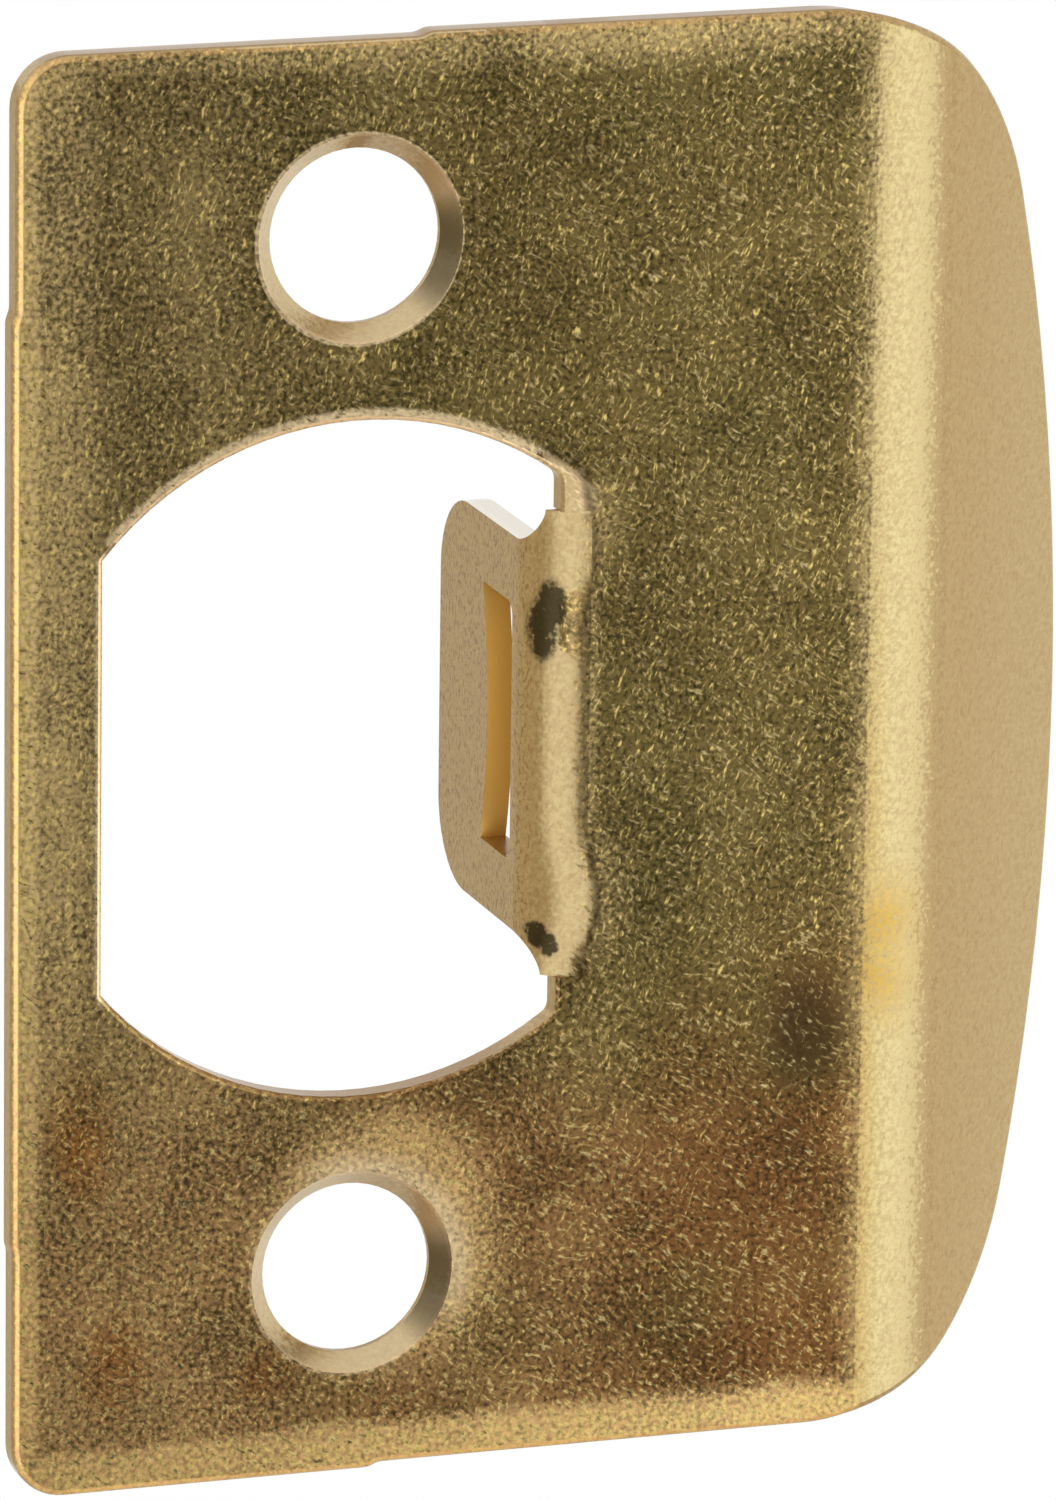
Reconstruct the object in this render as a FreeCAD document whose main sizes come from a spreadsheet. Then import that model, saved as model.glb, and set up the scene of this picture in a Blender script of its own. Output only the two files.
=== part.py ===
"""Full lip door strike plate for a spring latch, blanked and folded from one sheet of steel.

The plate lies upright as it is screwed to the door jamb: Z is up, the face that shows looks along -Y,
and the flat back face lies in the plane Y = 0. The origin is on the back face, midway between the two
screw holes. The lip leaves the plate at the +X edge and curls back round the jamb's corner. The tang
is lanced out of the latch opening and folded square into the jamb, where it stops the latch rattling.
All lengths are in millimetres and all angles in degrees.
"""
import FreeCAD, Part
import math
import os
import Sketcher
from FreeCAD import Placement, Rotation, Vector

SIZES = {
    # The sheet, and the roll that the blanking punch leaves along the front of each cut edge
    "sheet_thickness": 1.06,
    "outline_roll": 0.3,
    "opening_roll": 0.2,
    # The two screw holes, countersunk for flat head screws, and the plate above and below them
    "screw_spacing": 41.275,
    "screw_hole_diameter": 6.85,
    "countersink_rim": 0.685,
    "countersink_angle": 82.0,
    "screw_edge_distance": 7.9375,
    "plate_corner_radius": 2.1,
    # The left end, cropped in a second stroke that stands a little out of line with the first
    "crop_drop": 0.19,
    "crop_high_inset": 0.16,
    "crop_low_inset": 0.08,
    "crop_step_radius": 0.9,
    "crop_high_reach": 2.6,
    "crop_low_reach": 1.0,
    "crop_high_side": 18.3,
    "crop_low_side": 18.65,
    # The latch opening: a round hole with one flat side, and a relief notch at each end of the fold
    "opening_web": 3.03,
    "opening_shift": 0.15,
    "opening_flat_depth": 3.12,
    "left_land": 3.62,
    "notch_depth": 5.38,
    "notch_length": 1.13,
    "notch_corner_radius": 0.6,
    # The tang: its fold, measured on the front face, then its leg and the slot pierced through the leg
    "tear_width": 1.23,
    "tang_fold_radius": 2.3,
    "tang_shoulder": 1.45,
    "tang_relief_radius": 1.6,
    "tang_leg_length": 9.36,
    "tang_corner_radius": 3.3,
    "slot_end_land": 2.7,
    "slot_root_land": 0.42,
    "slot_width": 2.92,
    "slot_bow": 0.7,
    "slot_corner_radius": 0.6,
    # The lip: the flat that leads to it, its bend measured on the front face, and its curved outline
    "right_land": 11.5,
    "lip_bend_radius": 8.0,
    "lip_angle": 32.0,
    "lip_length": 6.4,
    "lip_corner_lead": 1.85,
    "lip_corner_blend": 5.0,
    "lip_corner_radius": 11.35,
    "lip_corner_rise": 0.17,
    # Stock beyond the lip's outline that is trimmed away
    "trim_margin": 4.0,
}

# Sizes that follow from those above, each as the spreadsheet works it out
FORMULAS = {
    "plate_height": "screw_spacing + 2 * screw_edge_distance",
    "countersink_diameter": "screw_hole_diameter + 2 * countersink_rim",
    "opening_radius": "(screw_spacing - countersink_diameter) / 2 - opening_web",
    "opening_flat_reach": "opening_radius - opening_shift - opening_flat_depth",
    "left_reach": "opening_flat_reach + left_land",
    "crop_high_edge": "plate_height / 2 - crop_drop",
    "crop_low_edge": "plate_height / 2 + crop_drop",
    "crop_high_left": "left_reach - crop_high_inset",
    "crop_low_left": "left_reach - crop_low_inset",
    "notch_reach": "opening_radius + opening_shift - notch_depth",
    "notch_corner_x": "notch_reach - notch_corner_radius",
    "notch_corner_z": "sqrt((opening_radius - notch_corner_radius) ^ 2 - (notch_corner_x - opening_shift) ^ 2)",
    "tang_root": "notch_reach + tear_width",
    "tang_face_reach": "tang_root - tang_fold_radius",
    "tang_fold_depth": "tang_fold_radius - sheet_thickness",
    "tang_fold_width": "2 * (notch_corner_z - notch_length)",
    "tang_width": "tang_fold_width - 2 * tang_shoulder",
    "tang_relief_height": "tang_width / 2 + tang_relief_radius",
    "tang_depth": "tang_fold_depth + tang_leg_length",
    "slot_height": "tang_width - 2 * slot_end_land",
    "slot_start": "tang_fold_depth + slot_root_land",
    "slot_reach": "slot_start + slot_width + slot_bow",
    "slot_bow_radius": "(slot_height ^ 2 / 4 + slot_bow ^ 2) / (2 * slot_bow)",
    "lip_bend_start": "tang_root + right_land",
    "lip_bend_x": "lip_bend_start + lip_bend_radius * sin(lip_angle * 1deg)",
    "lip_bend_y": "sheet_thickness - lip_bend_radius * (1 - cos(lip_angle * 1deg))",
    "lip_corner_z": "plate_height / 2 + lip_corner_rise - lip_corner_radius",
    "lip_corner_start": "lip_corner_lead * cos(lip_angle * 1deg) + lip_bend_radius * sin(lip_angle * 1deg)",
    "lip_blend_inset": "lip_corner_radius - lip_corner_blend",
    "lip_blend_offset": "sqrt(2 * lip_blend_inset * lip_corner_rise - lip_corner_rise ^ 2)",
    "lip_crown_depth": "lip_length + lip_corner_start + lip_blend_offset",
    "lip_end_square": "lip_crown_depth ^ 2 + lip_corner_z ^ 2 - lip_corner_radius ^ 2",
    "lip_end_radius": "lip_end_square / (2 * (lip_crown_depth - lip_corner_radius))",
    "lip_end_offset": "lip_end_radius - lip_length",
    "lip_run": "lip_length + trim_margin / 2",
    "trim_reach": "lip_length + trim_margin",
    "trim_height": "plate_height / 2 + trim_margin",
}

# The origin of a sketch, its two axes, and the points that an element has besides its length
ORIGIN = (-1, 1)
X_AXIS, Y_AXIS = -1, -2
START, FINISH, CENTRE = range(1, 4)

# How near two measures are that count as the same
SAME = 1e-6


def make_sheet(doc):
    """The spreadsheet that holds every size under its own name. Gives back all their values."""
    sheet = doc.addObject("Spreadsheet::Sheet", "Sizes")
    cells = {name: str(value) for name, value in SIZES.items()}
    cells.update({name: "=" + formula for name, formula in FORMULAS.items()})
    for row, (name, content) in enumerate(cells.items(), start=1):
        sheet.set("A%d" % row, name)
        sheet.set("B%d" % row, content)
        sheet.setAlias("B%d" % row, name)
    doc.recompute()
    return {name: float(sheet.get(name)) for name in cells}


def new_sketch(body, name, role):
    """An empty sketch on one of the body's own origin planes."""
    sketch = body.newObject("Sketcher::SketchObject", name)
    plane = [f for f in body.Origin.OriginFeatures if f.Role == role][0]
    sketch.AttachmentSupport = [(plane, "")]
    sketch.MapMode = "FlatFace"
    return sketch


def point(x, y):
    return Vector(x, y, 0)


def line(sketch, a, b):
    return sketch.addGeometry(Part.LineSegment(a, b), False)


def circle(sketch, centre, radius):
    return sketch.addGeometry(Part.Circle(centre, Vector(0, 0, 1), radius), False)


def arc(sketch, centre, radius, first, last):
    """A counter-clockwise arc between two angles in degrees."""
    ring = Part.Circle(centre, Vector(0, 0, 1), radius)
    return sketch.addGeometry(Part.ArcOfCircle(ring, math.radians(first), math.radians(last)), False)


def tie(sketch, kind, *args):
    return sketch.addConstraint(Sketcher.Constraint(kind, *args))


def size(sketch, kind, *args, value, name):
    """A dimension of a sketch, tied to one cell of the spreadsheet."""
    index = tie(sketch, kind, *args, value)
    sketch.setExpression("Constraints[%d]" % index, "Sizes." + name)


def jog(sketch, middle, way, shift, radius):
    """Two arcs that carry a line sideways by shift, positive to its left, half way at middle.

    Gives back where the line meets them, before and after, then the arcs with their ends in that order.
    """
    left = Vector(-way.y, way.x, 0)
    side = math.copysign(1, shift)
    reach = math.sqrt(radius * abs(shift) - shift ** 2 / 4)
    swing = math.degrees(math.acos(1 - abs(shift) / (2 * radius)))
    before = middle - way * reach - left * (shift / 2)
    after = middle + way * reach + left * (shift / 2)
    heading = math.degrees(math.atan2(way.y, way.x))
    if side > 0:
        first = arc(sketch, before + left * radius, radius, heading - 90, heading - 90 + swing)
        second = arc(sketch, after - left * radius, radius, heading + 90, heading + 90 + swing)
        ends = (START, FINISH, FINISH, START)
    else:
        first = arc(sketch, before - left * radius, radius, heading + 90 - swing, heading + 90)
        second = arc(sketch, after + left * radius, radius, heading - 90 - swing, heading - 90)
        ends = (FINISH, START, START, FINISH)
    tie(sketch, "Tangent", first, ends[1], second, ends[2])
    tie(sketch, "Equal", first, second)
    return before, after, (first, ends[0]), (second, ends[3]), (first, ends[1])


def join_ends(sketch, *pairs):
    """Joins each pair of points, a point being an element and which of its ends."""
    for (first, first_end), (second, second_end) in pairs:
        tie(sketch, "Coincident", first, first_end, second, second_end)


def tang_fold(doc, body, s):
    """The square fold that turns the tang back out of the plate, as wide as the sheet was lanced."""
    radius = s["tang_fold_radius"]
    thick = s["sheet_thickness"]
    face = s["tang_face_reach"]
    depth = s["tang_fold_depth"]
    sketch = new_sketch(body, "TangFoldSection", "XY_Plane")
    outer = arc(sketch, point(s["tang_root"], depth), radius, 180, 270)
    inner = arc(sketch, point(s["tang_root"], depth), depth, 180, 270)
    seam = line(sketch, point(s["tang_root"], -thick), point(s["tang_root"], 0))
    end = line(sketch, point(face, depth), point(face + thick, depth))
    join_ends(sketch, ((outer, FINISH), (seam, START)), ((seam, FINISH), (inner, FINISH)),
              ((outer, START), (end, START)), ((end, FINISH), (inner, START)),
              ((outer, CENTRE), (inner, CENTRE)))
    tie(sketch, "Vertical", seam)
    tie(sketch, "Horizontal", end)
    tie(sketch, "PointOnObject", inner, FINISH, X_AXIS)
    tie(sketch, "Perpendicular", outer, seam)
    tie(sketch, "Perpendicular", outer, end)
    size(sketch, "Radius", outer, value=radius, name="tang_fold_radius")
    size(sketch, "DistanceY", seam, START, seam, FINISH, value=thick, name="sheet_thickness")
    size(sketch, "DistanceX", *ORIGIN, outer, START, value=face, name="tang_face_reach")
    pad = body.newObject("PartDesign::Pad", "TangFold")
    pad.Profile = sketch
    pad.SideType = "Symmetric"
    pad.setExpression("Length", "Sizes.tang_fold_width")
    doc.recompute()
    return pad


def tang_relief(doc, body, s):
    """Round reliefs that bring the fold in from the lanced width to the width of the leg."""
    height = s["tang_relief_height"]
    sketch = new_sketch(body, "TangReliefOutline", "YZ_Plane")
    for side in (1, -1):
        ring = circle(sketch, point(s["tang_fold_depth"], side * height), s["tang_relief_radius"])
        ends = ORIGIN + (ring, CENTRE) if side > 0 else (ring, CENTRE) + ORIGIN
        size(sketch, "Radius", ring, value=s["tang_relief_radius"], name="tang_relief_radius")
        size(sketch, "DistanceX", *ORIGIN, ring, CENTRE, value=s["tang_fold_depth"], name="tang_fold_depth")
        size(sketch, "DistanceY", *ends, value=height, name="tang_relief_height")
    pocket = body.newObject("PartDesign::Pocket", "TangRelief")
    pocket.Profile = sketch
    pocket.Type = "ThroughAll"
    pocket.SideType = "Symmetric"
    doc.recompute()
    return pocket


def tang_leg(doc, body, s):
    """The flat leg of the tang, with its rounded tip and the slot pierced through it."""
    root = s["tang_fold_depth"]
    tip = s["tang_depth"]
    half = s["tang_width"] / 2
    radius = s["tang_corner_radius"]
    sketch = new_sketch(body, "TangLegOutline", "YZ_Plane")
    sketch.AttachmentOffset = Placement(Vector(0, 0, s["tang_face_reach"]), Rotation())
    sketch.setExpression(".AttachmentOffset.Base.z", "Sizes.tang_face_reach")
    low = line(sketch, point(root, -half), point(tip - radius, -half))
    low_corner = arc(sketch, point(tip - radius, -half + radius), radius, 270, 360)
    edge = line(sketch, point(tip, -half + radius), point(tip, half - radius))
    high_corner = arc(sketch, point(tip - radius, half - radius), radius, 0, 90)
    high = line(sketch, point(tip - radius, half), point(root, half))
    seam = line(sketch, point(root, half), point(root, -half))
    join_ends(sketch, ((high, FINISH), (seam, START)), ((seam, FINISH), (low, START)))
    tie(sketch, "Tangent", low, FINISH, low_corner, START)
    tie(sketch, "Tangent", low_corner, FINISH, edge, START)
    tie(sketch, "Tangent", edge, FINISH, high_corner, START)
    tie(sketch, "Tangent", high_corner, FINISH, high, START)
    tie(sketch, "Horizontal", low)
    tie(sketch, "Horizontal", high)
    tie(sketch, "Vertical", edge)
    tie(sketch, "Equal", low_corner, high_corner)
    tie(sketch, "Symmetric", seam, START, seam, FINISH, X_AXIS)
    size(sketch, "Radius", low_corner, value=radius, name="tang_corner_radius")
    size(sketch, "DistanceY", seam, FINISH, seam, START, value=2 * half, name="tang_width")
    size(sketch, "DistanceX", *ORIGIN, seam, START, value=root, name="tang_fold_depth")
    size(sketch, "DistanceX", *ORIGIN, edge, START, value=tip, name="tang_depth")
    add_slot(sketch, s)
    pad = body.newObject("PartDesign::Pad", "TangLeg")
    pad.Profile = sketch
    pad.setExpression("Length", "Sizes.sheet_thickness")
    doc.recompute()
    return pad


def add_slot(sketch, s):
    """The slot in the leg: straight towards the fold, and bowed by the punch towards the tip."""
    near = s["slot_start"]
    far = s["slot_reach"]
    half = s["slot_height"] / 2
    radius = s["slot_corner_radius"]
    bow_radius = s["slot_bow_radius"]
    bow_angle = math.degrees(math.asin(half / bow_radius))
    bow_centre = point(far - s["slot_bow"] + bow_radius, 0)
    low_corner = arc(sketch, point(near + radius, -half + radius), radius, 180, 270)
    low = line(sketch, point(near + radius, -half), point(far, -half))
    far_edge = arc(sketch, bow_centre, bow_radius, 180 - bow_angle, 180 + bow_angle)
    high = line(sketch, point(far, half), point(near + radius, half))
    high_corner = arc(sketch, point(near + radius, half - radius), radius, 90, 180)
    near_edge = line(sketch, point(near, half - radius), point(near, -half + radius))
    tie(sketch, "Tangent", high, FINISH, high_corner, START)
    tie(sketch, "Tangent", high_corner, FINISH, near_edge, START)
    tie(sketch, "Tangent", near_edge, FINISH, low_corner, START)
    tie(sketch, "Tangent", low_corner, FINISH, low, START)
    join_ends(sketch, ((low, FINISH), (far_edge, FINISH)), ((far_edge, START), (high, START)))
    tie(sketch, "Equal", low_corner, high_corner)
    tie(sketch, "Horizontal", low)
    tie(sketch, "Horizontal", high)
    tie(sketch, "Vertical", near_edge)
    tie(sketch, "Symmetric", low, FINISH, high, START, X_AXIS)
    size(sketch, "Radius", low_corner, value=radius, name="slot_corner_radius")
    size(sketch, "DistanceX", *ORIGIN, near_edge, START, value=near, name="slot_start")
    size(sketch, "DistanceY", low, FINISH, high, START, value=2 * half, name="slot_height")
    size(sketch, "DistanceX", *ORIGIN, high, START, value=far, name="slot_reach")
    size(sketch, "Radius", far_edge, value=bow_radius, name="slot_bow_radius")


def flat_plate(doc, body, s):
    """The flat of the plate up to the lip's bend, with the latch opening blanked out of it.

    The outline is drawn against the clock. Four small jogs join the cropped left end to the rest.
    """
    left = -s["left_reach"]
    right = s["lip_bend_start"]
    half = s["plate_height"] / 2
    radius = s["plate_corner_radius"]
    step = s["crop_step_radius"]
    drop = s["crop_drop"]
    high_left = -s["crop_high_left"]
    low_left = -s["crop_low_left"]
    high_edge = s["crop_high_edge"]
    low_edge = -s["crop_low_edge"]
    sketch = new_sketch(body, "PlateOutline", "XZ_Plane")
    low_jog = jog(sketch, point(s["crop_low_reach"], low_edge + drop / 2), point(1, 0), drop, step)
    high_jog = jog(sketch, point(s["crop_high_reach"], half - drop / 2), point(-1, 0), drop, step)
    upper_jog = jog(sketch, point((left + high_left) / 2, s["crop_high_side"]), point(0, -1),
                    left - high_left, step)
    lower_jog = jog(sketch, point((left + low_left) / 2, -s["crop_low_side"]), point(0, -1),
                    low_left - left, step)
    low_corner = arc(sketch, point(low_left + radius, low_edge + radius), radius, 180, 270)
    low_end = line(sketch, point(low_left + radius, low_edge), low_jog[0])
    low = line(sketch, low_jog[1], point(right, -half))
    seam = line(sketch, point(right, -half), point(right, half))
    high = line(sketch, point(right, half), high_jog[0])
    high_end = line(sketch, high_jog[1], point(high_left + radius, high_edge))
    high_corner = arc(sketch, point(high_left + radius, high_edge - radius), radius, 90, 180)
    high_side = line(sketch, point(high_left, high_edge - radius), upper_jog[0])
    side = line(sketch, upper_jog[1], lower_jog[0])
    low_side = line(sketch, lower_jog[1], point(low_left, low_edge + radius))
    for before, turn, after in ((low_end, low_jog, low), (high, high_jog, high_end),
                                (high_side, upper_jog, side), (side, lower_jog, low_side)):
        tie(sketch, "Tangent", before, FINISH, *turn[2])
        tie(sketch, "Tangent", *turn[3], after, START)
        size(sketch, "Radius", turn[2][0], value=step, name="crop_step_radius")
    join_ends(sketch, ((low, FINISH), (seam, START)), ((seam, FINISH), (high, START)))
    tie(sketch, "Tangent", high_end, FINISH, high_corner, START)
    tie(sketch, "Tangent", high_corner, FINISH, high_side, START)
    tie(sketch, "Tangent", low_side, FINISH, low_corner, START)
    tie(sketch, "Tangent", low_corner, FINISH, low_end, START)
    tie(sketch, "Equal", low_corner, high_corner)
    tie(sketch, "Horizontal", low)
    tie(sketch, "Horizontal", high)
    tie(sketch, "Vertical", side)
    tie(sketch, "Symmetric", seam, START, seam, FINISH, X_AXIS)
    size(sketch, "Radius", low_corner, value=radius, name="plate_corner_radius")
    size(sketch, "DistanceY", seam, START, seam, FINISH, value=2 * half, name="plate_height")
    size(sketch, "DistanceX", side, START, *ORIGIN, value=-left, name="left_reach")
    size(sketch, "DistanceX", *ORIGIN, seam, START, value=right, name="lip_bend_start")
    size(sketch, "DistanceX", high_side, START, *ORIGIN, value=-high_left, name="crop_high_left")
    size(sketch, "DistanceX", low_side, FINISH, *ORIGIN, value=-low_left, name="crop_low_left")
    size(sketch, "DistanceY", *ORIGIN, high_end, FINISH, value=high_edge, name="crop_high_edge")
    size(sketch, "DistanceY", low_end, START, *ORIGIN, value=-low_edge, name="crop_low_edge")
    size(sketch, "DistanceX", *ORIGIN, *high_jog[4], value=s["crop_high_reach"], name="crop_high_reach")
    size(sketch, "DistanceX", *ORIGIN, *low_jog[4], value=s["crop_low_reach"], name="crop_low_reach")
    size(sketch, "DistanceY", *ORIGIN, *upper_jog[4], value=s["crop_high_side"], name="crop_high_side")
    size(sketch, "DistanceY", *lower_jog[4], *ORIGIN, value=s["crop_low_side"], name="crop_low_side")
    add_opening(sketch, s)
    pad = body.newObject("PartDesign::Pad", "FlatPlate")
    pad.Profile = sketch
    pad.setExpression("Length", "Sizes.sheet_thickness")
    doc.recompute()
    return pad


def add_opening(sketch, s):
    """The latch opening's outline, open on the right as far as the tang's fold."""
    radius = s["opening_radius"]
    shift = s["opening_shift"]
    flat = -s["opening_flat_reach"]
    notch = s["notch_reach"]
    corner = s["notch_corner_radius"]
    corner_x = s["notch_corner_x"]
    corner_z = s["notch_corner_z"]
    root = s["tang_root"]
    half = s["tang_fold_width"] / 2
    flat_z = math.sqrt(radius ** 2 - (flat - shift) ** 2)
    flat_angle = math.degrees(math.atan2(flat_z, flat - shift))
    corner_angle = math.degrees(math.atan2(corner_z, corner_x - shift))
    centre = point(shift, 0)
    top = arc(sketch, centre, radius, corner_angle, flat_angle)
    side = line(sketch, point(flat, flat_z), point(flat, -flat_z))
    bottom = arc(sketch, centre, radius, 360 - flat_angle, 360 - corner_angle)
    low_corner = arc(sketch, point(corner_x, -corner_z), corner, 360 - corner_angle, 360)
    low_notch = line(sketch, point(notch, -corner_z), point(notch, -half))
    low_tear = line(sketch, point(notch, -half), point(root, -half))
    seam = line(sketch, point(root, -half), point(root, half))
    high_tear = line(sketch, point(root, half), point(notch, half))
    high_notch = line(sketch, point(notch, half), point(notch, corner_z))
    high_corner = arc(sketch, point(corner_x, corner_z), corner, 0, corner_angle)
    join_ends(sketch, ((top, FINISH), (side, START)), ((side, FINISH), (bottom, START)),
              ((low_notch, FINISH), (low_tear, START)), ((low_tear, FINISH), (seam, START)),
              ((seam, FINISH), (high_tear, START)), ((high_tear, FINISH), (high_notch, START)),
              ((top, CENTRE), (bottom, CENTRE)))
    tie(sketch, "Tangent", bottom, FINISH, low_corner, START)
    tie(sketch, "Tangent", low_corner, FINISH, low_notch, START)
    tie(sketch, "Tangent", high_notch, FINISH, high_corner, START)
    tie(sketch, "Tangent", high_corner, FINISH, top, START)
    tie(sketch, "Equal", top, bottom)
    tie(sketch, "Equal", low_corner, high_corner)
    tie(sketch, "Vertical", side)
    tie(sketch, "Vertical", low_notch)
    tie(sketch, "Vertical", high_notch)
    tie(sketch, "Horizontal", low_tear)
    tie(sketch, "PointOnObject", top, CENTRE, X_AXIS)
    tie(sketch, "Symmetric", seam, START, seam, FINISH, X_AXIS)
    tie(sketch, "Symmetric", low_notch, FINISH, high_notch, START, X_AXIS)
    size(sketch, "Radius", top, value=radius, name="opening_radius")
    size(sketch, "Radius", low_corner, value=corner, name="notch_corner_radius")
    size(sketch, "DistanceX", *ORIGIN, top, CENTRE, value=shift, name="opening_shift")
    size(sketch, "DistanceX", side, START, *ORIGIN, value=-flat, name="opening_flat_reach")
    size(sketch, "DistanceX", *ORIGIN, low_notch, START, value=notch, name="notch_reach")
    size(sketch, "DistanceX", *ORIGIN, seam, START, value=root, name="tang_root")
    size(sketch, "DistanceY", seam, START, seam, FINISH, value=2 * half, name="tang_fold_width")


def lip_blank(doc, body, s):
    """The lip as a strip of the full height: a large bend, then a straight run past its outline."""
    start = s["lip_bend_start"]
    radius = s["lip_bend_radius"]
    thick = s["sheet_thickness"]
    run = s["lip_run"]
    angle = math.radians(s["lip_angle"])
    centre = point(start, radius - thick)
    along = point(math.cos(angle), math.sin(angle))
    outward = point(along.y, -along.x)
    front = centre + outward * radius
    back = centre + outward * (radius - thick)
    sketch = new_sketch(body, "LipSection", "XY_Plane")
    outer = arc(sketch, centre, radius, 270, 270 + s["lip_angle"])
    front_run = line(sketch, front, front + along * run)
    end = line(sketch, front + along * run, back + along * run)
    back_run = line(sketch, back + along * run, back)
    inner = arc(sketch, centre, radius - thick, 270, 270 + s["lip_angle"])
    seam = line(sketch, point(start, 0), point(start, -thick))
    join_ends(sketch, ((front_run, FINISH), (end, START)), ((end, FINISH), (back_run, START)),
              ((inner, START), (seam, START)), ((seam, FINISH), (outer, START)),
              ((outer, CENTRE), (inner, CENTRE)))
    tie(sketch, "Tangent", outer, FINISH, front_run, START)
    tie(sketch, "Tangent", back_run, FINISH, inner, FINISH)
    tie(sketch, "Vertical", seam)
    tie(sketch, "Perpendicular", seam, outer)
    tie(sketch, "Perpendicular", end, front_run)
    tie(sketch, "Parallel", back_run, front_run)
    tie(sketch, "PointOnObject", seam, START, X_AXIS)
    size(sketch, "DistanceX", *ORIGIN, seam, START, value=start, name="lip_bend_start")
    size(sketch, "Radius", outer, value=radius, name="lip_bend_radius")
    size(sketch, "DistanceY", seam, FINISH, seam, START, value=thick, name="sheet_thickness")
    size(sketch, "Angle", front_run, value=angle, name="lip_angle * 1deg")
    size(sketch, "Distance", front_run, value=run, name="lip_run")
    pad = body.newObject("PartDesign::Pad", "LipBlank")
    pad.Profile = sketch
    pad.SideType = "Symmetric"
    pad.setExpression("Length", "Sizes.plate_height")
    doc.recompute()
    return pad


def lip_trim(doc, body, s):
    """Cuts the lip to its outline, square to the lip: a shallow crown between two large corners.

    A short blend of a smaller radius turns each of the plate's straight edges into its corner, just
    before the bend. The crown's radius follows from the corners and from the lip's length.
    """
    end_radius = s["lip_end_radius"]
    radius = s["lip_corner_radius"]
    blend = s["lip_corner_blend"]
    corner_z = s["lip_corner_z"]
    edge_z = s["plate_height"] / 2
    far = s["trim_reach"]
    high = s["trim_height"]
    corner_x = s["lip_length"] - s["lip_crown_depth"]
    blend_x = corner_x + s["lip_blend_offset"]
    corner_angle = math.degrees(math.asin(corner_z / (end_radius - radius)))
    blend_angle = math.degrees(math.acos(s["lip_blend_offset"] / s["lip_blend_inset"]))
    bend_end = Vector(s["lip_bend_x"], 0, s["lip_bend_y"])
    sketch = new_sketch(body, "LipOutline", "XZ_Plane")
    sketch.AttachmentOffset = Placement(bend_end, Rotation(Vector(0, 1, 0), s["lip_angle"]))
    sketch.setExpression(".AttachmentOffset.Base.x", "Sizes.lip_bend_x")
    sketch.setExpression(".AttachmentOffset.Base.z", "Sizes.lip_bend_y")
    sketch.setExpression(".AttachmentOffset.Rotation.Angle", "Sizes.lip_angle * 1deg")
    end = arc(sketch, point(-s["lip_end_offset"], 0), end_radius, -corner_angle, corner_angle)
    high_corner = arc(sketch, point(corner_x, corner_z), radius, corner_angle, blend_angle)
    low_corner = arc(sketch, point(corner_x, -corner_z), radius, 360 - blend_angle, 360 - corner_angle)
    high_blend = arc(sketch, point(blend_x, edge_z - blend), blend, blend_angle, 90)
    low_blend = arc(sketch, point(blend_x, blend - edge_z), blend, 270, 360 - blend_angle)
    high_rise = line(sketch, point(blend_x, edge_z), point(blend_x, high))
    high_edge = line(sketch, point(blend_x, high), point(far, high))
    far_edge = line(sketch, point(far, high), point(far, -high))
    low_edge = line(sketch, point(far, -high), point(blend_x, -high))
    low_rise = line(sketch, point(blend_x, -high), point(blend_x, -edge_z))
    tie(sketch, "Tangent", end, FINISH, high_corner, START)
    tie(sketch, "Tangent", low_corner, FINISH, end, START)
    tie(sketch, "Tangent", high_corner, FINISH, high_blend, START)
    tie(sketch, "Tangent", low_blend, FINISH, low_corner, START)
    join_ends(sketch, ((high_rise, FINISH), (high_edge, START)),
              ((high_edge, FINISH), (far_edge, START)), ((far_edge, FINISH), (low_edge, START)),
              ((low_edge, FINISH), (low_rise, START)), ((low_rise, FINISH), (low_blend, START)))
    tie(sketch, "Vertical", high_rise)
    tie(sketch, "Vertical", low_rise)
    tie(sketch, "Vertical", far_edge)
    tie(sketch, "Horizontal", high_edge)
    tie(sketch, "Horizontal", low_edge)
    tie(sketch, "Perpendicular", high_blend, FINISH, high_rise, START)
    tie(sketch, "PointOnObject", end, CENTRE, X_AXIS)
    tie(sketch, "Symmetric", high_corner, CENTRE, low_corner, CENTRE, X_AXIS)
    tie(sketch, "Symmetric", high_blend, CENTRE, low_blend, CENTRE, X_AXIS)
    tie(sketch, "Symmetric", high_edge, START, low_edge, FINISH, X_AXIS)
    size(sketch, "Radius", end, value=end_radius, name="lip_end_radius")
    size(sketch, "Radius", high_corner, value=radius, name="lip_corner_radius")
    size(sketch, "Radius", high_blend, value=blend, name="lip_corner_blend")
    size(sketch, "DistanceX", end, CENTRE, *ORIGIN, value=s["lip_end_offset"], name="lip_end_offset")
    size(sketch, "DistanceY", *ORIGIN, high_corner, CENTRE, value=corner_z, name="lip_corner_z")
    size(sketch, "DistanceY", *ORIGIN, high_edge, START, value=high, name="trim_height")
    size(sketch, "DistanceX", *ORIGIN, far_edge, START, value=far, name="trim_reach")
    pocket = body.newObject("PartDesign::Pocket", "LipTrim")
    pocket.Profile = sketch
    pocket.Type = "ThroughAll"
    pocket.SideType = "Symmetric"
    doc.recompute()
    return pocket


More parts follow.
